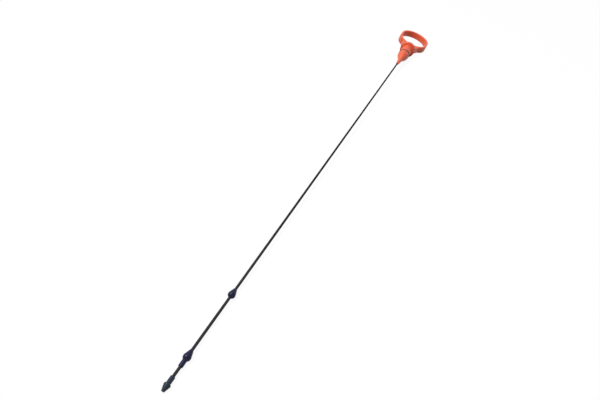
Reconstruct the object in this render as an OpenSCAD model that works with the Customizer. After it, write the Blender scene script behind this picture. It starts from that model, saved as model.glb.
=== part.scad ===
// Engine oil dipstick, lying as it comes to rest on a flat surface.
// The stick is drawn straight along X with its tip point at 0, and is then rolled, tilted and
// lifted until the lower bead, the flange and one side of the finger ring touch the surface.

/* [Rod] */
// Length from the tip point to the mouth of the handle, where the rod goes in
blade_len = 460.5; // [300:0.5:700]
// Diameter of the rod
rod_d = 1.8; // [1:0.1:2]
// Length of rod held inside the handle
rod_grip = 44; // [15:1:48]
// Length of plastic in front of the rod's lower end, inside the tip
rod_cover = 2; // [1.6:0.1:3]
// Gap between the rod and what is moulded on it
rod_gap = 0.02; // [0.01:0.01:0.05]

/* [Tip] */
// Length of the whole tip piece, from its point to the end of its sleeve
tip_len = 8.6; // [7:0.1:15]
// Diameter of the small flat on the point
tip_point_d = 2; // [0.8:0.1:2.2]
// Diameter of the tip at its shoulder
tip_shoulder_d = 4.1; // [3.6:0.1:5]
// Distance from the point to the shoulder
tip_shoulder_at = 3.7; // [2.8:0.1:4.6]
// Radius that rounds the shoulder
tip_shoulder_r = 0.8; // [0.2:0.1:1]
// Length of the slope from the shoulder down to the sleeve
tip_slope = 0.9; // [0.6:0.1:1.6]
// Diameter of the plain sleeves on the tip and on the lower bead
sleeve_d = 2.8; // [2.5:0.05:3.1]

/* [Guide beads] */
// Diameter of the lower bead, which marks the full level
lower_bead_d = 4.8; // [3.8:0.1:7]
// Distance from the tip point to the middle of the lower bead
lower_bead_at = 20.7; // [18:0.1:40]
// Length of the lower bead's sleeve, from the bead's middle towards the tip
lower_sleeve_len = 6; // [4:0.1:8]
// Length of the lower bead's taper, from its middle towards the handle
lower_taper_len = 4.2; // [3.6:0.1:9]
// Diameter of the upper bead, which steadies the rod in its tube
upper_bead_d = 4.9; // [3.8:0.1:7]
// Distance from the tip point to the middle of the upper bead
upper_bead_at = 66.3; // [50:0.1:200]
// Length of the upper bead's taper, from its middle towards the handle
upper_taper_len = 4.4; // [3.6:0.1:9]
// Diameter of both tapers at their thin end
taper_end_d = 2.4; // [2.2:0.1:2.8]

/* [Nose of the handle] */
// Diameter of the handle's mouth, where the rod goes in
mouth_d = 2.8; // [2.5:0.1:3.4]
// Diameter of the nozzle behind the mouth
nozzle_d = 4.2; // [3.4:0.1:4.8]
// Length of the taper from the mouth to the nozzle
mouth_len = 5.6; // [3:0.1:7]
// Distance from the mouth to the start of the cone
cone_at = 14; // [9:0.5:17]
// Diameter of the nozzle where the cone starts
cone_start_d = 5.2; // [4.9:0.1:7]
// Radius of the hollow where the nozzle flows into the cone
cone_hollow_r = 10; // [4:1:16]

/* [Plug and seal] */
// Distance from the mouth to the start of the plug
plug_at = 27.8; // [24:0.2:30]
// Diameter of the plug that enters the dipstick tube
plug_d = 13.4; // [12:0.1:15]
// Radius where the cone flows into the plug
plug_round_r = 5; // [3:1:12]
// Distance from the mouth to the middle of the seal ring
seal_at = 33.4; // [31.4:0.2:46]
// Thickness of the seal ring's cord
seal_cord_d = 1.7; // [1.4:0.1:2.4]
// How far the seal ring stands out of the plug
seal_proud = 0.35; // [0.3:0.05:0.8]
// Gap between the seal ring and the floor of its groove
seal_gap = 0.05; // [0.02:0.01:0.1]
// Room between the seal ring and each side of its groove, so that the ring can be pressed flat
seal_room = 0.25; // [0.15:0.05:0.4]

/* [Flange] */
// Distance from the mouth to the flange's seat
seat_at = 51.5; // [50:0.5:55]
// Diameter of the flange
flange_d = 19.4; // [18:0.2:24]
// Thickness of the flange
flange_t = 4.4; // [3:0.1:6]
// Radius on the flange's edges
flange_edge_r = 0.6; // [0.3:0.1:1]
// Radius of the fillet between the plug and the flange's seat
flange_root_r = 0.8; // [0.3:0.1:1]

/* [Finger ring] */
// Length of the whole handle, from its mouth to the far side of the ring
handle_len = 111.3; // [108:0.1:120]
// Width of the ring across the stick, which is also the diameter of its round ends
ring_w = 39.2; // [34:0.2:42]
// Length of the ring's straight sides, between its round ends
ring_straight = 8.6; // [2:0.2:11]
// Thickness of the ring's band
band_t = 3.2; // [2.2:0.1:4]
// Height of the ring's band
band_h = 8.1; // [5:0.1:9.5]
// Radius on the band's edges
band_edge_r = 0.9; // [0.4:0.1:1]
// Angle round the ring's near end that each side of the neck reaches
neck_spread = 54; // [40:1:56]
// How far each side of the neck is hollowed
neck_hollow = 0.3; // [0.2:0.1:1]
// How far the neck's two faces lie under the band's
neck_inset = 0.2; // [0.2:0.1:1.5]
// Diameter of the moulding gate's mark on the far side of the ring
gate_d = 1.8; // [1:0.1:3]
// How far the gate mark stands out of the ring
gate_proud = 0.5; // [0.2:0.1:0.8]
// Angle of the gate mark from the stick's line
gate_angle = 14; // [0:1:40]

/* [Hidden] */
$fn = 96;

// Distances from the tip point, along the stick
mouth_x = blade_len;
seat_x = mouth_x + seat_at;
ring_far_x = mouth_x + handle_len;
ring_r = ring_w / 2;
ring_mid_x = ring_far_x - ring_r - ring_straight / 2;
flange_back_x = seat_x + flange_t;

// Neck: it leaves the flange's flat back and spreads to the middle of the ring's band
near_mid_x = ring_mid_x - ring_straight / 2;
neck_h = band_h - 2 * neck_inset;
neck_inner_r = ring_r - band_t / 2;
neck_from = [flange_back_x, flange_d / 2 - 2 * flange_edge_r];
neck_to = [near_mid_x - neck_inner_r * cos(neck_spread), neck_inner_r * sin(neck_spread)];
neck_side = norm(neck_to - neck_from);
neck_hollow_r = (pow(neck_side / 2, 2) + pow(neck_hollow, 2)) / (2 * neck_hollow);

// Seal groove
groove_w = seal_cord_d + 2 * seal_room;
groove_r = plug_d / 2 + seal_proud - seal_cord_d - seal_gap;
seal_mid_r = groove_r + seal_gap + seal_cord_d / 2;

// Rest: the stick rises from the lower bead's underside to the flange's front edge
flange_touch_r = flange_d / 2 - flange_edge_r;
touch_run = seat_x + flange_edge_r - lower_bead_at;
rest_tilt = atan2(flange_touch_r, touch_run)
    - asin((lower_bead_d / 2 - flange_edge_r) / norm([touch_run, flange_touch_r]));
tip_lift = lower_bead_d / 2 - lower_bead_at * sin(rest_tilt);

// Rest: the ring rolls round the stick until the near end of one straight side reaches the surface
side_height = (near_mid_x * sin(rest_tilt) + tip_lift - band_edge_r) / cos(rest_tilt);
side_reach = ring_r - band_edge_r;
edge_reach = band_h / 2 - band_edge_r;
ring_roll = asin(side_height / norm([side_reach, edge_reach])) - atan2(edge_reach, side_reach);

// Middle of the whole length, so that the origin is under the middle of the stick
rest_middle = ring_far_x * cos(rest_tilt) / 2;

// Points of an arc, from one angle to another
function arc(mid, r, from, to, steps = 8) =
    [for (i = [0:steps]) mid + r * [cos(from + (to - from) * i / steps), sin(from + (to - from) * i / steps)]];

// Lays a piece, drawn along X, as the stick rests
module at_rest() {
    translate([-rest_middle, 0, tip_lift])
        rotate([0, -rest_tilt, 0])
            rotate([ring_roll, 0, 0])
                children();
}

// Turns an outline round the stick's line, with the outline's x as radius and its y along the stick
module turned() {
    rotate([0, 90, 0])
        rotate_extrude()
            children();
}

// Bore for the rod, between two distances from the tip point
module rod_bore(from, to) {
    translate([from, 0, 0])
        rotate([0, 90, 0])
            cylinder(d = rod_d + 2 * rod_gap, h = to - from);
}

// Bead that is round towards the tip and tapers towards the handle
module bead(d, taper_len, at) {
    thin = taper_end_d / 2;
    away = norm([taper_len, thin]);
    touch = atan2(thin, taper_len) + acos(d / 2 / away);
    turned()
        translate([0, at]) {
            intersection() {
                circle(d = d);
                translate([0, -d])
                    square([d, 2 * d]);
            }
            polygon([[0, 0], d / 2 * [sin(touch), cos(touch)], [thin, taper_len], [0, taper_len]]);
        }
}

module rod() {
    color("dimgray")
        at_rest()
            translate([rod_cover, 0, 0])
                rotate([0, 90, 0])
                    cylinder(d = rod_d, h = mouth_x + rod_grip - rod_cover);
}

module tip() {
    shoulder = tip_shoulder_d / 2;
    point = tip_point_d / 2;
    color("midnightblue")
        at_rest()
            difference() {
                turned()
                    polygon(concat(
                        [[0, 0]],
                        [[point, 0]],
                        arc([shoulder - tip_shoulder_r, tip_shoulder_at], tip_shoulder_r, -25, 40, 6),
                        [[sleeve_d / 2, tip_shoulder_at + tip_slope]],
                        [[sleeve_d / 2, tip_len]],
                        [[0, tip_len]]));
                rod_bore(rod_cover - rod_gap, tip_len + 1);
            }
}

module lower_bead() {
    color("midnightblue")
        at_rest()
            difference() {
                union() {
                    bead(lower_bead_d, lower_taper_len, lower_bead_at);
                    translate([lower_bead_at - lower_sleeve_len, 0, 0])
                        rotate([0, 90, 0])
                            cylinder(d = sleeve_d, h = lower_sleeve_len);
                }
                rod_bore(lower_bead_at - lower_sleeve_len - 1, lower_bead_at + lower_taper_len + 1);
            }
}

module upper_bead() {
    color("midnightblue")
        at_rest()
            difference() {
                bead(upper_bead_d, upper_taper_len, upper_bead_at);
                rod_bore(upper_bead_at - upper_bead_d, upper_bead_at + upper_taper_len + 1);
            }
}

module seal_ring() {
    color("black")
        at_rest()
            turned()
                translate([seal_mid_r, mouth_x + seal_at])
                    circle(d = seal_cord_d);
}

// Nose, plug and flange, as one turned form
module plug_body() {
    slope = atan2(plug_d / 2 - cone_start_d / 2, plug_at - cone_at);
    hollow_run = cone_hollow_r * tan(slope / 2);
    round_run = plug_round_r * tan(slope / 2);
    edge = flange_edge_r;
    root = flange_root_r;
    turned()
        translate([0, mouth_x])
            polygon(concat(
                [[0, 0], [mouth_d / 2, 0], [nozzle_d / 2, mouth_len]],
                arc([cone_start_d / 2 + cone_hollow_r, cone_at - hollow_run], cone_hollow_r, 180, 180 - slope),
                arc([plug_d / 2 - plug_round_r, plug_at + round_run], plug_round_r, -slope, 0),
                [for (side = [-1, 1], r = side < 0 ? [plug_d / 2, groove_r] : [groove_r, plug_d / 2])
                    [r, seal_at + side * groove_w / 2]],
                arc([plug_d / 2 + root, seat_at - root], root, 180, 90),
                arc([flange_d / 2 - edge, seat_at + edge], edge, -90, 0),
                arc([flange_d / 2 - edge, seat_at + flange_t - edge], edge, 0, 90),
                [[0, seat_at + flange_t]]));
}

// Cross-section of the ring's band, with the given outer radius
module band_section(outer_r) {
    edge = band_edge_r;
    high = band_h / 2 - edge;
    inner_r = outer_r - band_t;
    polygon(concat(
        arc([outer_r - edge, high], edge, 0, 90),
        arc([inner_r + edge, high], edge, 90, 180),
        arc([inner_r + edge, -high], edge, 180, 270),
        arc([outer_r - edge, -high], edge, 270, 360)));
}

// Half of the ring's round ends, opening from the stick's line at the given angle
module band_end(x, from) {
    translate([x, 0, 0])
        rotate([0, 0, from])
            rotate_extrude(angle = 180)
                band_section(ring_r);
}

module ring_band() {
    band_end(near_mid_x + ring_straight, -90);
    band_end(near_mid_x, 90);
    translate([near_mid_x, 0, 0])
        rotate([90, 0, 90])
            linear_extrude(ring_straight)
                for (side = [0, 1])
                    mirror([side, 0])
                        band_section(ring_r);
}

// Neck in the ring's plane, hollow on both sides, from inside the flange to inside the band
module neck() {
    root = [flange_back_x - flange_t / 2, neck_from[1]];
    outward = [neck_from[1] - neck_to[1], neck_to[0] - neck_from[0]] / neck_side;
    hollow_mid = (neck_from + neck_to) / 2 + (neck_hollow_r - neck_hollow) * outward;
    translate([0, 0, -neck_h / 2])
        linear_extrude(neck_h)
            difference() {
                for (side = [0, 1])
                    mirror([0, side])
                        difference() {
                            polygon([[root[0], 0], root, neck_from, neck_to, [neck_to[0], 0]]);
                            translate(hollow_mid)
                                circle(r = neck_hollow_r);
                        }
                translate([near_mid_x, 0])
                    circle(r = neck_inner_r);
            }
}

// Small round mark where the plastic entered the mould
module gate_mark() {
    translate([ring_far_x - ring_r, 0, 0])
        rotate([0, 0, gate_angle])
            translate([ring_r - band_t / 2, 0, 0])
                rotate([0, 90, 0])
                    cylinder(d = gate_d, h = band_t / 2 + gate_proud);
}

module handle() {
    color("orangered")
        at_rest()
            difference() {
                union() {
                    plug_body();
                    ring_band();
                    neck();
                    gate_mark();
                }
                rod_bore(mouth_x - 1, mouth_x + rod_grip + rod_gap);
            }
}

handle();
seal_ring();
rod();
upper_bead();
lower_bead();
tip();
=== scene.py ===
import math

import bmesh
import bpy
from bpy.props import FloatProperty, FloatVectorProperty, PointerProperty
from mathutils import Matrix, Vector


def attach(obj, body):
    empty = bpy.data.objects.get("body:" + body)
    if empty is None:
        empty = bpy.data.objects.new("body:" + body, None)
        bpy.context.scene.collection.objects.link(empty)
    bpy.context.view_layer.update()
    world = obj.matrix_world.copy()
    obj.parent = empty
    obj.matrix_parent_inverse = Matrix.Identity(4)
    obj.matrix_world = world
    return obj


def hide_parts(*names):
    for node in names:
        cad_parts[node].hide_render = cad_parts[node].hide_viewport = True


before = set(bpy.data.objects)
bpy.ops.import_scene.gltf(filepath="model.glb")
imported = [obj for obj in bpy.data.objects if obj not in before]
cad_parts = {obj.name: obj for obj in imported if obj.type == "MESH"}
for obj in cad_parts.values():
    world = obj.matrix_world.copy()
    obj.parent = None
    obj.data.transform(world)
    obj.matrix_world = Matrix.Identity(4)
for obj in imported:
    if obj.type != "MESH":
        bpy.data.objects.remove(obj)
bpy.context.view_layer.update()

bl_info = {
    "name": "Engine oil dipstick",
    "version": (1, 0, 0),
    "blender": (4, 5, 0),
    "location": "View3D > Sidebar > Dipstick",
    "description": "Builds an engine oil dipstick with its rod, beads, seal and moulded handle",
    "category": "Object",
}

MM = 0.001
BODY = "root"

# Small roundings that nobody would resize
ROD_EDGE_R = 0.15 * MM
TIP_POINT_R = 0.35 * MM
NOSE_LIP_R = 0.12 * MM
GROOVE_FLOOR_R = 0.2 * MM
GATE_EDGE_R = 0.15 * MM

# Steps in the lips' roundings, the degrees above which an edge stays crisp, and how near doubles lie
LIP_STEPS = 4
CRISP_ANGLE = 32
MERGE_WITHIN = 1e-7

# What all the finishes share: the size and contrast of the clouds of colour, the drift of the gloss
# from its middle, and the depth of the grain
CLOUDS_PER_METRE = 70
CLOUD_DETAIL = 3
CLOUD_RANGE = (0.3, 0.7)
GLOSS_DRIFT = (-0.05, 0.07)
GRAIN_DETAIL = 2
GRAIN_STRENGTH = 0.6

# How far the grain is drawn out along the rod: 1 is not at all
DRAWN_SCALE = 0.04

# The stage in metres. Each lamp stands right, ahead and up of the lit point, as the camera faces
FLOOR_HALF = 6
LIT_POINT = Vector((0.22, 0, 0))
KEY_OFFSET = (-0.57, -0.33, 1.24)
BACK_OFFSET = (0, 0.66, 1.24)
LAMP_SIZE = 0.5
SENSOR_MM = 36

# The floor's paint where it is seen, its share of plain white there, and what it throws back at the object
FLOOR_PAINT = 0.9
FLOOR_WHITE = 0.94
FLOOR_BOUNCE = 0.45


def length(name, mm, description):
    """A length in millimetres as a Blender size property."""
    return FloatProperty(name=name, description=description, default=mm * MM, unit="LENGTH", precision=5)


def angle(name, degrees, description):
    """An angle in degrees as a Blender angle property."""
    return FloatProperty(name=name, description=description, default=math.radians(degrees), subtype="ANGLE")


def colour(name, rgb, description):
    """A colour property."""
    return FloatVectorProperty(name=name, description=description, default=rgb, subtype="COLOR", min=0, max=1)


class DIPSTICK_PG_blade(bpy.types.PropertyGroup):
    """Sizes of the rod, the tip and the guide beads"""
    blade_len: length("Length", 460.5, "From the tip point to the mouth of the handle")
    rod_d: length("Rod diameter", 1.8, "Diameter of the rod")
    rod_grip: length("Rod grip", 44, "Length of rod held inside the handle")
    rod_cover: length("Rod cover", 2, "Plastic in front of the rod's lower end")
    rod_gap: length("Rod gap", 0.02, "Gap between the rod and what is moulded on it")
    tip_len: length("Tip length", 8.6, "Length of the tip piece with its sleeve")
    tip_point_d: length("Tip point", 2, "Diameter of the blunt point")
    tip_shoulder_d: length("Tip shoulder", 4.1, "Diameter of the tip at its shoulder")
    tip_shoulder_at: length("Tip shoulder place", 3.7, "From the point to the shoulder")
    tip_shoulder_r: length("Tip shoulder rounding", 0.8, "Radius that rounds the shoulder")
    tip_slope: length("Tip slope", 0.9, "From the shoulder down to the sleeve")
    sleeve_d: length("Sleeve diameter", 2.8, "Diameter of the plain sleeves")
    lower_bead_d: length("Lower bead", 4.8, "Diameter of the lower bead")
    lower_bead_at: length("Lower bead place", 20.7, "From the tip point to the lower bead")
    lower_sleeve_len: length("Lower bead sleeve", 6, "Sleeve from the lower bead towards the tip")
    lower_taper_len: length("Lower bead taper", 4.2, "Taper from the lower bead towards the handle")
    upper_bead_d: length("Upper bead", 4.9, "Diameter of the upper bead")
    upper_bead_at: length("Upper bead place", 66.3, "From the tip point to the upper bead")
    upper_taper_len: length("Upper bead taper", 4.4, "Taper from the upper bead towards the handle")
    taper_end_d: length("Taper end", 2.4, "Diameter of both tapers at their thin end")
    lip_r: length("Lip rounding", 0.12, "Radius on the lips of the beads and the tip")


class DIPSTICK_PG_handle(bpy.types.PropertyGroup):
    """Sizes of the nose, the plug, the flange and the finger ring"""
    mouth_d: length("Mouth", 2.8, "Diameter of the mouth, where the rod goes in")
    nozzle_d: length("Nozzle", 4.2, "Diameter of the nozzle behind the mouth")
    mouth_len: length("Mouth taper", 5.6, "Taper from the mouth to the nozzle")
    cone_at: length("Cone place", 14, "From the mouth to the start of the cone")
    cone_start_d: length("Cone start", 5.2, "Diameter where the cone starts")
    cone_hollow_r: length("Cone hollow", 10, "Radius where the nozzle flows into the cone")
    plug_at: length("Plug place", 27.8, "From the mouth to the start of the plug")
    plug_d: length("Plug", 13.4, "Diameter of the plug")
    plug_round_r: length("Plug rounding", 5, "Radius where the cone flows into the plug")
    seal_at: length("Seal place", 33.4, "From the mouth to the middle of the seal ring")
    seal_cord_d: length("Seal cord", 1.7, "Thickness of the seal ring's cord")
    seal_proud: length("Seal stand", 0.35, "How far the seal ring stands out of the plug")
    seal_gap: length("Seal gap", 0.05, "Gap between the seal ring and the floor of its groove")
    seal_room: length("Seal room", 0.25, "Room between the seal ring and each side of its groove")
    seal_flash: length("Seal flash", 0.025, "How far the moulding flash stands out of the seal ring")
    seat_at: length("Seat place", 51.5, "From the mouth to the flange's seat")
    flange_d: length("Flange", 19.4, "Diameter of the flange")
    flange_t: length("Flange thickness", 4.4, "Thickness of the flange")
    flange_edge_r: length("Flange edge", 0.6, "Radius on the flange's edges")
    flange_root_r: length("Flange root", 0.8, "Fillet between the plug and the flange")
    handle_len: length("Handle length", 111.3, "From the mouth to the far side of the ring")
    ring_w: length("Ring width", 39.2, "Width of the finger ring across the stick")
    ring_straight: length("Ring straight", 8.6, "Length of the ring's straight sides")
    band_t: length("Band thickness", 3.2, "Thickness of the ring's band")
    band_h: length("Band height", 8.1, "Height of the ring's band")
    band_edge_r: length("Band edge", 0.9, "Radius on the band's edges")
    neck_spread: angle(
        "Neck spread", 54, "Angle round the ring's near end that each side of the neck reaches")
    neck_hollow: length("Neck hollow", 0.3, "How far each side of the neck is hollowed")
    neck_inset: length("Neck inset", 0.2, "How far the neck's two faces lie under the band's")
    neck_edge_r: length("Neck edge", 0.5, "Radius on the neck's edges")
    gate_d: length("Gate mark", 1.8, "Diameter of the moulding gate's mark")
    gate_proud: length("Gate stand", 0.5, "How far the gate mark stands out")
    gate_angle: angle("Gate angle", 14, "Angle of the gate mark from the stick's line")
    parting_w: length("Parting line", 0.14, "Width of the fine line where the mould halves met")


class DIPSTICK_PG_finish(bpy.types.PropertyGroup):
    """Colours of the plastics, the rod and the rubber, and the painted sheen that makes the rod paler towards
    the tip
    """
    handle_colour: colour("Handle", (0.73, 0.109, 0.045), "Orange-red plastic of the handle")
    bead_colour: colour("Beads", (0.005, 0.006, 0.034), "Blue-black plastic of the beads")
    tip_colour: colour("Tip", (0.013, 0.022, 0.037), "Greyer plastic of the tip")
    rod_colour: colour("Rod", (0.010, 0.011, 0.012), "Dark coating of the rod")
    seal_colour: colour("Seal", (0.012, 0.008, 0.007), "Black rubber of the seal ring")
    # The rod's coating is painted paler towards the tip: a painted sheen that stands in for the highlight
    # along the near part of the rod
    painted_sheen_level: FloatProperty(
        name="Rod wear", description="How many times paler the rod's coating is where it is worn",
        default=3.2, min=1)
    painted_sheen_start: length("Wear start", 20, "From the middle of the dipstick to where the wear starts")
    painted_sheen_full: length("Wear full", 200, "From the middle of the dipstick to where the wear is full")


class DIPSTICK_PG_stage(bpy.types.PropertyGroup):
    """Camera, lamps and sky"""
    camera_place: FloatVectorProperty(
        name="Camera place", description="Where the camera stands",
        default=(-0.357707, -0.108475, 0.212639), subtype="TRANSLATION", unit="LENGTH")
    camera_pitch: angle("Camera pitch", 38.498, "How far the camera looks down")
    camera_heading: angle("Camera heading", 24.429, "How far the camera turns from the stick")
    camera_lens: FloatProperty(
        name="Lens", description="Focal length on a 36 mm sensor", default=25.98, unit="CAMERA")
    key_power: FloatProperty(
        name="Key lamp", description="Power of the soft lamp from the upper left",
        default=17, unit="POWER")
    back_power: FloatProperty(
        name="Back lamp", description="Power of the soft lamp from above and behind",
        default=4, unit="POWER")
    sky_strength: FloatProperty(
        name="Sky", description="Strength of the even light all round", default=0.26, min=0)


def blade():
    return bpy.context.scene.dipstick_blade


def handle():
    return bpy.context.scene.dipstick_handle


def finishes():
    return bpy.context.scene.dipstick_finish


def bore_r():
    """Radius of the bores that the rod goes through or into."""
    return blade().rod_d / 2 + blade().rod_gap


def groove_r():
    """Radius of the floor of the seal's groove."""
    h = handle()
    return h.plug_d / 2 + h.seal_proud - h.seal_cord_d - h.seal_gap


def ring_far():
    """Distance from the tip point to the far side of the finger ring."""
    return blade().blade_len + handle().handle_len


def ring_near_mid():
    """Distance from the tip point to the centre of the finger ring's near round end."""
    h = handle()
    middle = ring_far() - h.ring_w / 2 - h.ring_straight / 2
    return middle - h.ring_straight / 2


def at_rest():
    """The turn and lift that lay the stick, drawn along X, on its bead, its flange and its ring."""
    b, h = blade(), handle()
    touch_r = h.flange_d / 2 - h.flange_edge_r
    run = b.blade_len + h.seat_at + h.flange_edge_r - b.lower_bead_at
    tilt = math.atan2(touch_r, run) - math.asin(
        (b.lower_bead_d / 2 - h.flange_edge_r) / math.hypot(run, touch_r))
    lift = b.lower_bead_d / 2 - b.lower_bead_at * math.sin(tilt)
    side_height = (ring_near_mid() * math.sin(tilt) + lift - h.band_edge_r) / math.cos(tilt)
    side_reach = h.ring_w / 2 - h.band_edge_r
    edge_reach = h.band_h / 2 - h.band_edge_r
    roll = (math.asin(side_height / math.hypot(side_reach, edge_reach))
            - math.atan2(edge_reach, side_reach))
    middle_x = ring_far() * math.cos(tilt) / 2
    return (Matrix.Translation((-middle_x, 0, lift))
            @ Matrix.Rotation(-tilt, 4, "Y")
            @ Matrix.Rotation(roll, 4, "X"))


def arc(x, r, radius, start, end, steps=8):
    """Points of an arc in the outline's plane, with angles in degrees from the stick's line."""
    turns = [math.radians(start + (end - start) * i / steps) for i in range(steps + 1)]
    return [(x + radius * math.cos(turn), r + radius * math.sin(turn)) for turn in turns]


def new_piece(name, mesh, material, slot, *nodes):
    """Puts a finished mesh in the scene as a piece of the dipstick that stands for CAD nodes."""
    for polygon in mesh.polygons:
        polygon.use_smooth = True
    mesh.materials.clear()
    mesh.materials.append(material)
    piece = bpy.data.objects.new(name, mesh)
    bpy.context.scene.collection.objects.link(piece)
    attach(piece, BODY)
    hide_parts(*nodes)
    return piece


def close_shell(bm):
    """Merges doubles, turns the faces outwards and keeps the sharper edges crisp."""
    bmesh.ops.remove_doubles(bm, verts=bm.verts, dist=MERGE_WITHIN)
    bmesh.ops.recalc_face_normals(bm, faces=bm.faces)
    for edge in bm.edges:
        edge.smooth = len(edge.link_faces) == 2 and edge.calc_face_angle() < math.radians(CRISP_ANGLE)


def turned(name, outline, sides, loop=False):
    """Turns an outline of (distance, radius) points round the stick's line into a closed mesh."""
    bm = bmesh.new()
    turns = [2 * math.pi * i / sides for i in range(sides)]
    rings = []
    for x, r in outline:
        if r == 0:
            rings.append([bm.verts.new((x, 0, 0))])
        else:
            rings.append([bm.verts.new((x, r * math.cos(turn), r * math.sin(turn))) for turn in turns])
    pairs = list(zip(rings, rings[1:]))
    if loop:
        pairs.append((rings[-1], rings[0]))
    for a, b in pairs:
        for i in range(sides):
            j = (i + 1) % sides
            if len(a) == 1:
                bm.faces.new((a[0], b[i], b[j]))
            elif len(b) == 1:
                bm.faces.new((a[i], b[0], a[j]))
            else:
                bm.faces.new((a[i], b[i], b[j], a[j]))
    close_shell(bm)
    mesh = bpy.data.meshes.new(name)
    bm.to_mesh(mesh)
    bm.free()
    return mesh


def grained(name, base, spread, roughness, grain_mm, relief_mm, specular):
    """Moulded plastic or rubber: a small drift of colour, uneven gloss and a fine grain."""
    material = bpy.data.materials.new(name)
    material.use_nodes = True
    tree = material.node_tree
    node, link = tree.nodes.new, tree.links.new
    shader = tree.nodes["Principled BSDF"]
    shader.inputs["Specular IOR Level"].default_value = specular
    place = node("ShaderNodeTexCoord")
    place.name = "place"
    cloud = node("ShaderNodeTexNoise")
    cloud.inputs["Scale"].default_value = CLOUDS_PER_METRE
    cloud.inputs["Detail"].default_value = CLOUD_DETAIL
    drift = node("ShaderNodeValToRGB")
    drift.name = "drift"
    for element, position, level in zip(drift.color_ramp.elements, CLOUD_RANGE, (1 - spread, 1 + spread)):
        element.position = position
        element.color = (*[min(1, c * level) for c in base], 1)
    gloss = node("ShaderNodeMapRange")
    gloss.inputs["To Min"].default_value = roughness + GLOSS_DRIFT[0]
    gloss.inputs["To Max"].default_value = roughness + GLOSS_DRIFT[1]
    grain = node("ShaderNodeTexNoise")
    grain.name = "grain"
    grain.inputs["Scale"].default_value = 1 / (grain_mm * MM)
    grain.inputs["Detail"].default_value = GRAIN_DETAIL
    bump = node("ShaderNodeBump")
    bump.inputs["Distance"].default_value = relief_mm * MM
    bump.inputs["Strength"].default_value = GRAIN_STRENGTH
    link(place.outputs["Object"], cloud.inputs["Vector"])
    link(place.outputs["Object"], grain.inputs["Vector"])
    link(cloud.outputs["Fac"], drift.inputs["Fac"])
    link(cloud.outputs["Fac"], gloss.inputs["Value"])
    link(drift.outputs["Color"], shader.inputs["Base Color"])
    link(gloss.outputs["Result"], shader.inputs["Roughness"])
    link(grain.outputs["Fac"], bump.inputs["Height"])
    link(bump.outputs["Normal"], shader.inputs["Normal"])
    return material


def drawn_coat(name, base):
    """Dark coated spring steel with faint draw marks, and a painted sheen that makes it paler towards the
    tip.
    """
    f = finishes()
    material = grained(
        name, base, spread=0.12, roughness=0.55, grain_mm=0.25, relief_mm=0.004, specular=0.02)
    nodes = material.node_tree.nodes
    link = material.node_tree.links.new
    place = nodes["place"].outputs["Object"]

    stretch = nodes.new("ShaderNodeMapping")
    stretch.inputs["Scale"].default_value = (DRAWN_SCALE, 1, 1)
    link(place, stretch.inputs["Vector"])
    link(stretch.outputs["Vector"], nodes["grain"].inputs["Vector"])

    # Painted sheen: the base colour is lifted step by step towards the tip, in place of the highlight along
    # the near part of the rod
    along = nodes.new("ShaderNodeSeparateXYZ")
    painted_sheen = nodes.new("ShaderNodeMapRange")
    painted_sheen.inputs["From Min"].default_value = -f.painted_sheen_start
    painted_sheen.inputs["From Max"].default_value = -f.painted_sheen_full
    painted_sheen.inputs["To Min"].default_value = 1
    painted_sheen.inputs["To Max"].default_value = f.painted_sheen_level
    painted_lighter = nodes.new("ShaderNodeHueSaturation")
    link(place, along.inputs["Vector"])
    link(along.outputs["X"], painted_sheen.inputs["Value"])
    link(painted_sheen.outputs["Result"], painted_lighter.inputs["Value"])
    link(nodes["drift"].outputs["Color"], painted_lighter.inputs["Color"])
    link(painted_lighter.outputs["Color"], nodes["Principled BSDF"].inputs["Base Color"])
    return material


def bead_outline(d, taper_len, at, front):
    """Outline of a bead, round towards the tip and tapering towards the handle, from its front lip."""
    b = blade()
    thin, lip = b.taper_end_d / 2, b.lip_r
    away = math.hypot(taper_len, thin)
    touch = math.degrees(math.atan2(thin, taper_len) + math.acos(d / 2 / away))
    start = math.degrees(math.asin(front / (d / 2)))
    ball = arc(at, 0, d / 2, 180 - start, touch, steps=28)
    return ball + arc(at + taper_len - lip, thin - lip, lip, touch, 0, LIP_STEPS)


def run_tree(mesh, tree, values):
    """Runs a Geometry Nodes tree on a mesh and returns the plain mesh it makes."""
    carrier = bpy.data.objects.new(mesh.name + "_path", mesh)
    bpy.context.scene.collection.objects.link(carrier)
    modifier = carrier.modifiers.new("sweep", "NODES")
    modifier.node_group = tree
    sockets = {item.name: item.identifier for item in tree.interface.items_tree
               if item.item_type == "SOCKET" and item.in_out == "INPUT"}
    for name, value in values.items():
        modifier[sockets[name]] = value
    return plain_mesh(carrier)


def plain_mesh(carrier):
    """The mesh that an object's modifiers make. The object itself is taken away."""
    bpy.context.view_layer.update()
    mesh = bpy.data.meshes.new_from_object(carrier.evaluated_get(bpy.context.evaluated_depsgraph_get()))
    carrier.modifiers.clear()
    bpy.data.objects.remove(carrier)
    return mesh


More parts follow.
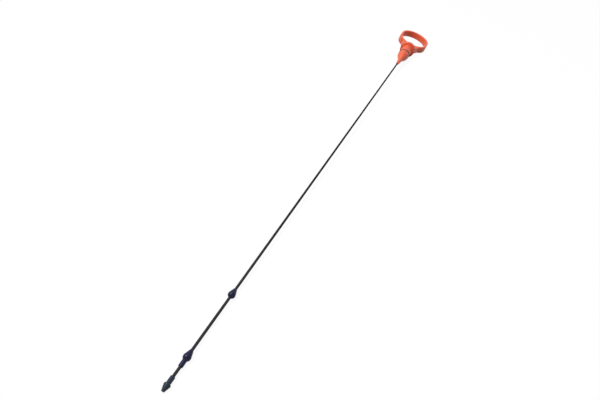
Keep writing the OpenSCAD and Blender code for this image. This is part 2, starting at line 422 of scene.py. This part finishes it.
def sweep_tree():
    """A tree that sweeps a rounded bar along each path of the mesh it is given."""
    if "rounded_bar_sweep" in bpy.data.node_groups:
        return bpy.data.node_groups["rounded_bar_sweep"]
    tree = bpy.data.node_groups.new("rounded_bar_sweep", "GeometryNodeTree")
    socket = tree.interface.new_socket
    socket("Path", in_out="INPUT", socket_type="NodeSocketGeometry")
    for name in ("Thickness", "Height", "Edge radius"):
        socket(name, in_out="INPUT", socket_type="NodeSocketFloat").subtype = "DISTANCE"
    socket("Material", in_out="INPUT", socket_type="NodeSocketMaterial")
    socket("Bar", in_out="OUTPUT", socket_type="NodeSocketGeometry")
    node, link = tree.nodes.new, tree.links.new
    given, made = node("NodeGroupInput"), node("NodeGroupOutput")
    path = node("GeometryNodeMeshToCurve")
    upright = node("GeometryNodeSetCurveNormal")
    upright.mode = "Z_UP"
    section = node("GeometryNodeCurvePrimitiveQuadrilateral")
    rounding = node("GeometryNodeFilletCurve")
    rounding.mode = "POLY"
    rounding.inputs["Count"].default_value = 8
    bar = node("GeometryNodeCurveToMesh")
    bar.inputs["Fill Caps"].default_value = True
    real = node("GeometryNodeRealizeInstances")
    paint = node("GeometryNodeSetMaterial")
    link(given.outputs["Path"], path.inputs["Mesh"])
    link(path.outputs["Curve"], upright.inputs["Curve"])
    link(given.outputs["Thickness"], section.inputs["Width"])
    link(given.outputs["Height"], section.inputs["Height"])
    link(section.outputs["Curve"], rounding.inputs["Curve"])
    link(given.outputs["Edge radius"], rounding.inputs["Radius"])
    link(upright.outputs["Curve"], bar.inputs["Curve"])
    link(rounding.outputs["Curve"], bar.inputs["Profile Curve"])
    link(bar.outputs["Mesh"], real.inputs["Geometry"])
    link(real.outputs["Geometry"], paint.inputs["Geometry"])
    link(given.outputs["Material"], paint.inputs["Material"])
    link(paint.outputs["Geometry"], made.inputs["Bar"])
    return tree


def path_mesh(name, *paths):
    """A mesh of edges only, from (points, closed) paths."""
    points, edges = [], []
    for line, closed in paths:
        first = len(points)
        points += [tuple(p) for p in line]
        edges += [(first + i, first + i + 1) for i in range(len(line) - 1)]
        if closed:
            edges.append((len(points) - 1, first))
    mesh = bpy.data.meshes.new(name)
    mesh.from_pydata(points, edges, [])
    return mesh


def ring_path(radius):
    """The finger ring's path at one radius: two round ends joined by straight sides."""
    near_mid = ring_near_mid()
    far_mid = near_mid + handle().ring_straight
    ends = arc(far_mid, 0, radius, -90, 90, steps=64) + arc(near_mid, 0, radius, 90, 270, steps=64)
    return [(x, y, 0) for x, y in ends]


def nose_outline():
    """Outline of the nose, plug and flange, from the mouth's lip to the flange's back."""
    b, h = blade(), handle()
    plug_r, start_r, edge, root = h.plug_d / 2, h.cone_start_d / 2, h.flange_edge_r, h.flange_root_r
    slope = math.atan2(plug_r - start_r, h.plug_at - h.cone_at)
    hollow_run = h.cone_hollow_r * math.tan(slope / 2)
    round_run = h.plug_round_r * math.tan(slope / 2)
    turn = math.degrees(slope)
    mouth_turn = 97  # where the mouth's lip flows into its taper
    groove_w = h.seal_cord_d + 2 * h.seal_room
    front, back = h.seal_at - groove_w / 2, h.seal_at + groove_w / 2
    lip, floor_r = NOSE_LIP_R, GROOVE_FLOOR_R
    floor_at = groove_r() + floor_r
    points = arc(lip, h.mouth_d / 2 - lip, lip, 180, mouth_turn, LIP_STEPS)
    points += [(h.mouth_len, h.nozzle_d / 2)]
    points += arc(h.cone_at - hollow_run, start_r + h.cone_hollow_r, h.cone_hollow_r,
                  270, 270 + turn, steps=14)
    points += arc(h.plug_at + round_run, plug_r - h.plug_round_r, h.plug_round_r,
                  90 + turn, 90, steps=12)
    points += arc(front - lip, plug_r - lip, lip, 90, 0, LIP_STEPS)
    points += arc(front + floor_r, floor_at, floor_r, 180, 270, LIP_STEPS)
    points += arc(back - floor_r, floor_at, floor_r, 270, 360, LIP_STEPS)
    points += arc(back + lip, plug_r - lip, lip, 180, 90, LIP_STEPS)
    points += arc(h.seat_at - root, plug_r + root, root, 270, 360)
    points += arc(h.seat_at + edge, h.flange_d / 2 - edge, edge, 180, 90)
    points += arc(h.seat_at + h.flange_t - edge, h.flange_d / 2 - edge, edge, 90, 0)
    return [(b.blade_len + x, r) for x, r in points]


def neck_mesh(name):
    """The neck between the flange and the band, hollow on both sides, with rounded edges."""
    b, h = blade(), handle()
    near_mid = ring_near_mid()
    back = b.blade_len + h.seat_at + h.flange_t
    inner_r = h.ring_w / 2 - h.band_t / 2
    start = Vector((back, h.flange_d / 2 - 2 * h.flange_edge_r))
    end = Vector((near_mid - inner_r * math.cos(h.neck_spread), inner_r * math.sin(h.neck_spread)))
    run = end - start
    hollow_r = ((run.length / 2) ** 2 + h.neck_hollow ** 2) / (2 * h.neck_hollow)
    outward = Vector((-run.y, run.x)) / run.length
    hollow_mid = (start + end) / 2 + (hollow_r - h.neck_hollow) * outward
    lean = math.degrees(math.atan2(run.y, run.x))
    half_turn = math.degrees(math.asin(run.length / 2 / hollow_r))
    side = [(back - h.flange_t / 2, start.y)]
    side += arc(hollow_mid.x, hollow_mid.y, hollow_r,
                270 + lean - half_turn, 270 + lean + half_turn, steps=20)
    side += arc(near_mid, 0, inner_r, 180 - math.degrees(h.neck_spread), 180, steps=16)[1:]
    outline = side + [(x, -y) for x, y in reversed(side[:-1])]
    bm = bmesh.new()
    top = h.band_h / 2 - h.neck_inset
    layers = [[bm.verts.new((x, y, z)) for x, y in outline] for z in (-top, top)]
    lids = [bm.faces.new(layer) for layer in layers]
    for i in range(len(outline)):
        j = (i + 1) % len(outline)
        bm.faces.new((layers[0][i], layers[0][j], layers[1][j], layers[1][i]))
    bmesh.ops.recalc_face_normals(bm, faces=bm.faces)
    bmesh.ops.bevel(bm, geom=[edge for lid in lids for edge in lid.edges], offset=h.neck_edge_r,
                    offset_type="OFFSET", segments=4, profile=0.5, affect="EDGES")
    mesh = bpy.data.meshes.new(name)
    bm.to_mesh(mesh)
    bm.free()
    return mesh


def gate_mesh(name):
    """The small round mark where the plastic entered the mould, on the far side of the ring."""
    h = handle()
    ring_r, edge = h.ring_w / 2, GATE_EDGE_R
    top = h.band_t / 2 + h.gate_proud
    outline = [(0, 0), (0, h.gate_d / 2)]
    outline += arc(top - edge, h.gate_d / 2 - edge, edge, 90, 0, LIP_STEPS) + [(top, 0)]
    mesh = turned(name, outline, sides=40)
    mesh.transform(Matrix.Translation((ring_far() - ring_r, 0, 0)) @ Matrix.Rotation(h.gate_angle, 4, "Z")
                   @ Matrix.Translation((ring_r - h.band_t / 2, 0, 0)))
    return mesh


def one_skin(name, meshes, voxel, passes):
    """Melts overlapping closed meshes into one skin with softly filled corners."""
    bm = bmesh.new()
    for mesh in meshes:
        bm.from_mesh(mesh)
    merged = bpy.data.meshes.new(name + "_raw")
    bm.to_mesh(merged)
    bm.free()
    carrier = bpy.data.objects.new(name + "_carrier", merged)
    bpy.context.scene.collection.objects.link(carrier)
    skin = carrier.modifiers.new("skin", "REMESH")
    skin.mode = "VOXEL"
    skin.voxel_size = voxel
    skin.use_smooth_shade = True
    soften = carrier.modifiers.new("soften", "SMOOTH")
    soften.factor = 0.5
    soften.iterations = passes
    result = plain_mesh(carrier)
    result.name = name
    return result


class DIPSTICK_OT_rod(bpy.types.Operator):
    """Make the coated spring steel rod"""
    bl_idname = "dipstick.rod"
    bl_label = "Rod"

    def execute(self, context):
        b = blade()
        r, edge = b.rod_d / 2, ROD_EDGE_R
        start, end = b.rod_cover, b.blade_len + b.rod_grip
        spans = 60
        outline = [(start, 0)] + arc(start + edge, r - edge, edge, 180, 90, steps=3)
        outline += [(start + (end - start) * i / spans, r) for i in range(1, spans)]
        outline += arc(end - edge, r - edge, edge, 90, 0, steps=3) + [(end, 0)]
        mesh = turned("rod", outline, sides=32)
        mesh.transform(at_rest())
        new_piece("rod_bar", mesh, drawn_coat("rod_coat", finishes().rod_colour), "rod_steel", "rod")
        return {"FINISHED"}


class DIPSTICK_OT_beads(bpy.types.Operator):
    """Make the blunt tip and the two guide beads"""
    bl_idname = "dipstick.beads"
    bl_label = "Tip and beads"

    def execute(self, context):
        b = blade()
        bead_finish = grained("bead_plastic", finishes().bead_colour, spread=0.10, roughness=0.28,
                              grain_mm=0.35, relief_mm=0.006, specular=0.2)
        tip_finish = grained("tip_plastic", finishes().tip_colour, spread=0.10, roughness=0.32,
                             grain_mm=0.35, relief_mm=0.006, specular=0.22)
        bore, sleeve, lip = bore_r(), b.sleeve_d / 2, b.lip_r

        start, end = b.lower_bead_at - b.lower_sleeve_len, b.lower_bead_at + b.lower_taper_len
        lower = arc(start + lip, sleeve - lip, lip, 180, 90, LIP_STEPS)
        lower += bead_outline(b.lower_bead_d, b.lower_taper_len, b.lower_bead_at, sleeve)
        mesh = turned("lower_bead", lower + [(end, bore), (start, bore)], sides=72, loop=True)
        mesh.transform(at_rest())
        new_piece("lower_bead_piece", mesh, bead_finish, "bead_plastic", "lower_bead")

        upper = bead_outline(b.upper_bead_d, b.upper_taper_len, b.upper_bead_at, bore)
        upper += [(b.upper_bead_at + b.upper_taper_len, bore)]
        mesh = turned("upper_bead", upper, sides=72, loop=True)
        mesh.transform(at_rest())
        new_piece("upper_bead_piece", mesh, bead_finish, "bead_plastic", "upper_bead")

        point, point_r = b.tip_point_d / 2, TIP_POINT_R
        shoulder, shoulder_r = b.tip_shoulder_d / 2, b.tip_shoulder_r
        point_turn, shoulder_turns = 108, (113, 50)  # where the roundings flow into the flanks
        bore_end = b.rod_cover - b.rod_gap
        tip = [(0, 0), (0, point - point_r)]
        tip += arc(point_r, point - point_r, point_r, 180, point_turn, steps=6)
        tip += arc(b.tip_shoulder_at, shoulder - shoulder_r, shoulder_r, *shoulder_turns)
        tip += [(b.tip_shoulder_at + b.tip_slope, sleeve)]
        tip += arc(b.tip_len - lip, sleeve - lip, lip, 90, 0, LIP_STEPS)
        tip += [(b.tip_len, bore), (bore_end, bore), (bore_end, 0)]
        mesh = turned("tip", tip, sides=72)
        mesh.transform(at_rest())
        new_piece("tip_piece", mesh, tip_finish, "bead_plastic", "tip")
        return {"FINISHED"}


class DIPSTICK_OT_seal(bpy.types.Operator):
    """Make the rubber seal ring with its fine moulding flash"""
    bl_idname = "dipstick.seal"
    bl_label = "Seal ring"

    def execute(self, context):
        h = handle()
        cord = h.seal_cord_d / 2
        middle_x, middle_r = blade().blade_len + h.seal_at, groove_r() + h.seal_gap + cord
        steps = 32
        flash_steps = (steps // 4, steps * 3 // 4)  # outermost and innermost
        outline = []
        for i in range(steps):
            turn = 2 * math.pi * i / steps
            out = cord + (h.seal_flash if i in flash_steps else 0)
            outline.append((middle_x + out * math.cos(turn), middle_r + out * math.sin(turn)))
        mesh = turned("seal", outline, sides=128, loop=True)
        mesh.transform(at_rest())
        rubber = grained("seal_rubber", finishes().seal_colour, spread=0.15, roughness=0.50,
                         grain_mm=0.20, relief_mm=0.008, specular=0.2)
        new_piece("seal_ring_piece", mesh, rubber, "seal_rubber", "seal_ring")
        return {"FINISHED"}


class DIPSTICK_OT_handle(bpy.types.Operator):
    """Make the moulded handle: nose, plug, flange, neck and finger ring"""
    bl_idname = "dipstick.handle"
    bl_label = "Handle"

    def execute(self, context):
        b, h = blade(), handle()
        plastic = grained("handle_plastic", finishes().handle_colour, spread=0.06, roughness=0.38,
                          grain_mm=0.40, relief_mm=0.008, specular=0.28)
        bore, bore_end = bore_r(), b.blade_len + b.rod_grip + b.rod_gap
        nose = nose_outline()
        back = nose[-1][0]
        outline = [(bore_end, 0), (bore_end, bore), (b.blade_len, bore)] + nose + [(back, 0)]
        mesh = turned("handle_nose", outline, sides=128)
        mesh.transform(at_rest())
        new_piece("handle_nose_plug", mesh, plastic, "handle_plastic", "handle")

        path = path_mesh("band", (ring_path(h.ring_w / 2 - h.band_t / 2), True))
        band = run_tree(path, sweep_tree(), {
            "Thickness": h.band_t, "Height": h.band_h, "Edge radius": h.band_edge_r,
            "Material": plastic})
        skin = one_skin("handle_ring", [band, neck_mesh("neck"), gate_mesh("gate")],
                        voxel=0.3 * MM, passes=4)
        skin.transform(at_rest())
        new_piece("handle_finger_ring", skin, plastic, "handle_plastic", "handle")

        seam = [(x, r) for x, r in nose if r > h.nozzle_d / 2]
        path = path_mesh(
            "parting",
            (ring_path(h.ring_w / 2), True),
            (ring_path(h.ring_w / 2 - h.band_t), True),
            ([(x, -r, 0) for x, r in seam], False),
            ([(x, r, 0) for x, r in seam], False))
        stand, edge = h.parting_w * 0.5, h.parting_w * 0.2
        lines = run_tree(path, sweep_tree(), {
            "Thickness": stand, "Height": h.parting_w, "Edge radius": edge, "Material": plastic})
        lines.transform(at_rest())
        new_piece("handle_parting_line", lines, plastic, "handle_plastic", "handle")
        return {"FINISHED"}


class DIPSTICK_OT_stage(bpy.types.Operator):
    """Make the pale floor, the soft light and the camera"""
    bl_idname = "dipstick.stage"
    bl_label = "Stage"

    def execute(self, context):
        scene = context.scene
        s = scene.dipstick_stage
        half = FLOOR_HALF
        corners = [(-half, -half, 0), (half, -half, 0), (half, half, 0), (-half, half, 0)]
        floor_mesh = bpy.data.meshes.new("floor")
        floor_mesh.from_pydata(corners, [], [(0, 1, 2, 3)])
        floor_mesh.materials.append(self.white_floor())
        floor = bpy.data.objects.new("floor", floor_mesh)
        scene.collection.objects.link(floor)

        self.even_sky(scene, s.sky_strength)

        heading, pitch = s.camera_heading, s.camera_pitch
        right = Vector((math.sin(heading), -math.cos(heading), 0))
        ahead = Vector((math.cos(heading), math.sin(heading), 0))
        up = Vector((0, 0, 1))
        self.soft_lamp("key", (right, ahead, up), KEY_OFFSET, s.key_power)
        self.soft_lamp("back", (right, ahead, up), BACK_OFFSET, s.back_power)

        camera_data = bpy.data.cameras.new("camera")
        camera_data.lens = s.camera_lens
        camera_data.sensor_width = SENSOR_MM
        camera = bpy.data.objects.new("camera", camera_data)
        scene.collection.objects.link(camera)
        camera.location = s.camera_place
        camera.rotation_mode = "QUATERNION"
        look = math.cos(pitch) * ahead - math.sin(pitch) * up
        camera.rotation_quaternion = look.to_track_quat("-Z", "Y")
        scene.camera = camera
        scene.view_settings.view_transform = "Standard"
        return {"FINISHED"}

    def soft_lamp(self, name, directions, offset, power):
        """A square soft lamp that stands off the lit point and faces it."""
        light = bpy.data.lights.new(name, "AREA")
        light.size = LAMP_SIZE
        light.energy = power
        lamp = bpy.data.objects.new(name, light)
        bpy.context.scene.collection.objects.link(lamp)
        place = LIT_POINT.copy()
        for direction, distance in zip(directions, offset):
            place += direction * distance
        lamp.location = place
        lamp.rotation_mode = "QUATERNION"
        lamp.rotation_quaternion = (LIT_POINT - place).to_track_quat("-Z", "Y")

    def seen(self, tree):
        """A socket that is 1 for what the camera sees, straight or in a shine, and 0 for plain light."""
        path = tree.nodes.new("ShaderNodeLightPath")
        shown = path.outputs["Is Camera Ray"]
        for other in ("Is Glossy Ray", "Is Transmission Ray"):
            either = tree.nodes.new("ShaderNodeMath")
            either.operation = "MAXIMUM"
            tree.links.new(shown, either.inputs[0])
            tree.links.new(path.outputs[other], either.inputs[1])
            shown = either.outputs["Value"]
        return shown

    def even_sky(self, scene, strength):
        """An even sky of the given strength that shows as plain white."""
        world = bpy.data.worlds.new("even_light")
        scene.world = world
        world.use_nodes = True
        tree = world.node_tree
        sky = tree.nodes["Background"]
        sky.inputs["Color"].default_value = (1, 1, 1, 1)
        level = tree.nodes.new("ShaderNodeMapRange")
        level.inputs["To Min"].default_value = strength
        tree.links.new(self.seen(tree), level.inputs["Value"])
        tree.links.new(level.outputs["Result"], sky.inputs["Strength"])

    def white_floor(self):
        """A floor that shows as white, keeps the object's shadow and lights the object from below."""
        material = bpy.data.materials.new("floor_white")
        material.use_nodes = True
        tree = material.node_tree
        tree.nodes.clear()
        node, link = tree.nodes.new, tree.links.new
        matte, dim = node("ShaderNodeBsdfDiffuse"), node("ShaderNodeBsdfDiffuse")
        matte.inputs["Color"].default_value = (FLOOR_PAINT, FLOOR_PAINT, FLOOR_PAINT, 1)
        dim.inputs["Color"].default_value = (FLOOR_BOUNCE, FLOOR_BOUNCE, FLOOR_BOUNCE, 1)
        glow = node("ShaderNodeEmission")
        bright, blend = node("ShaderNodeMixShader"), node("ShaderNodeMixShader")
        bright.inputs["Fac"].default_value = FLOOR_WHITE
        result = node("ShaderNodeOutputMaterial")
        link(matte.outputs["BSDF"], bright.inputs[1])
        link(glow.outputs["Emission"], bright.inputs[2])
        link(self.seen(tree), blend.inputs["Fac"])
        link(dim.outputs["BSDF"], blend.inputs[1])
        link(bright.outputs["Shader"], blend.inputs[2])
        link(blend.outputs["Shader"], result.inputs["Surface"])
        return material


class DIPSTICK_PT_panel(bpy.types.Panel):
    """Lists the dipstick's pieces, sizes and colours"""
    bl_idname = "DIPSTICK_PT_panel"
    bl_label = "Engine oil dipstick"
    bl_space_type = "VIEW_3D"
    bl_region_type = "UI"
    bl_category = "Dipstick"

    def draw(self, context):
        for operator in OPERATORS:
            self.layout.operator(operator.bl_idname)
        for group_name, cls in GROUPS.items():
            group = getattr(context.scene, group_name)
            box = self.layout.box()
            for name in cls.__annotations__:
                box.prop(group, name)


GROUPS = {
    "dipstick_blade": DIPSTICK_PG_blade,
    "dipstick_handle": DIPSTICK_PG_handle,
    "dipstick_finish": DIPSTICK_PG_finish,
    "dipstick_stage": DIPSTICK_PG_stage,
}
OPERATORS = (
    DIPSTICK_OT_stage,
    DIPSTICK_OT_rod,
    DIPSTICK_OT_beads,
    DIPSTICK_OT_seal,
    DIPSTICK_OT_handle,
)


def register():
    for cls in (*GROUPS.values(), *OPERATORS, DIPSTICK_PT_panel):
        bpy.utils.register_class(cls)
    for name, cls in GROUPS.items():
        setattr(bpy.types.Scene, name, PointerProperty(type=cls))


def unregister():
    for name in GROUPS:
        delattr(bpy.types.Scene, name)
    for cls in (DIPSTICK_PT_panel, *reversed(OPERATORS), *reversed(GROUPS.values())):
        bpy.utils.unregister_class(cls)


def main():
    register()
    bpy.ops.dipstick.stage()
    bpy.ops.dipstick.rod()
    bpy.ops.dipstick.beads()
    bpy.ops.dipstick.seal()
    bpy.ops.dipstick.handle()


if __name__ == "__main__":
    main()
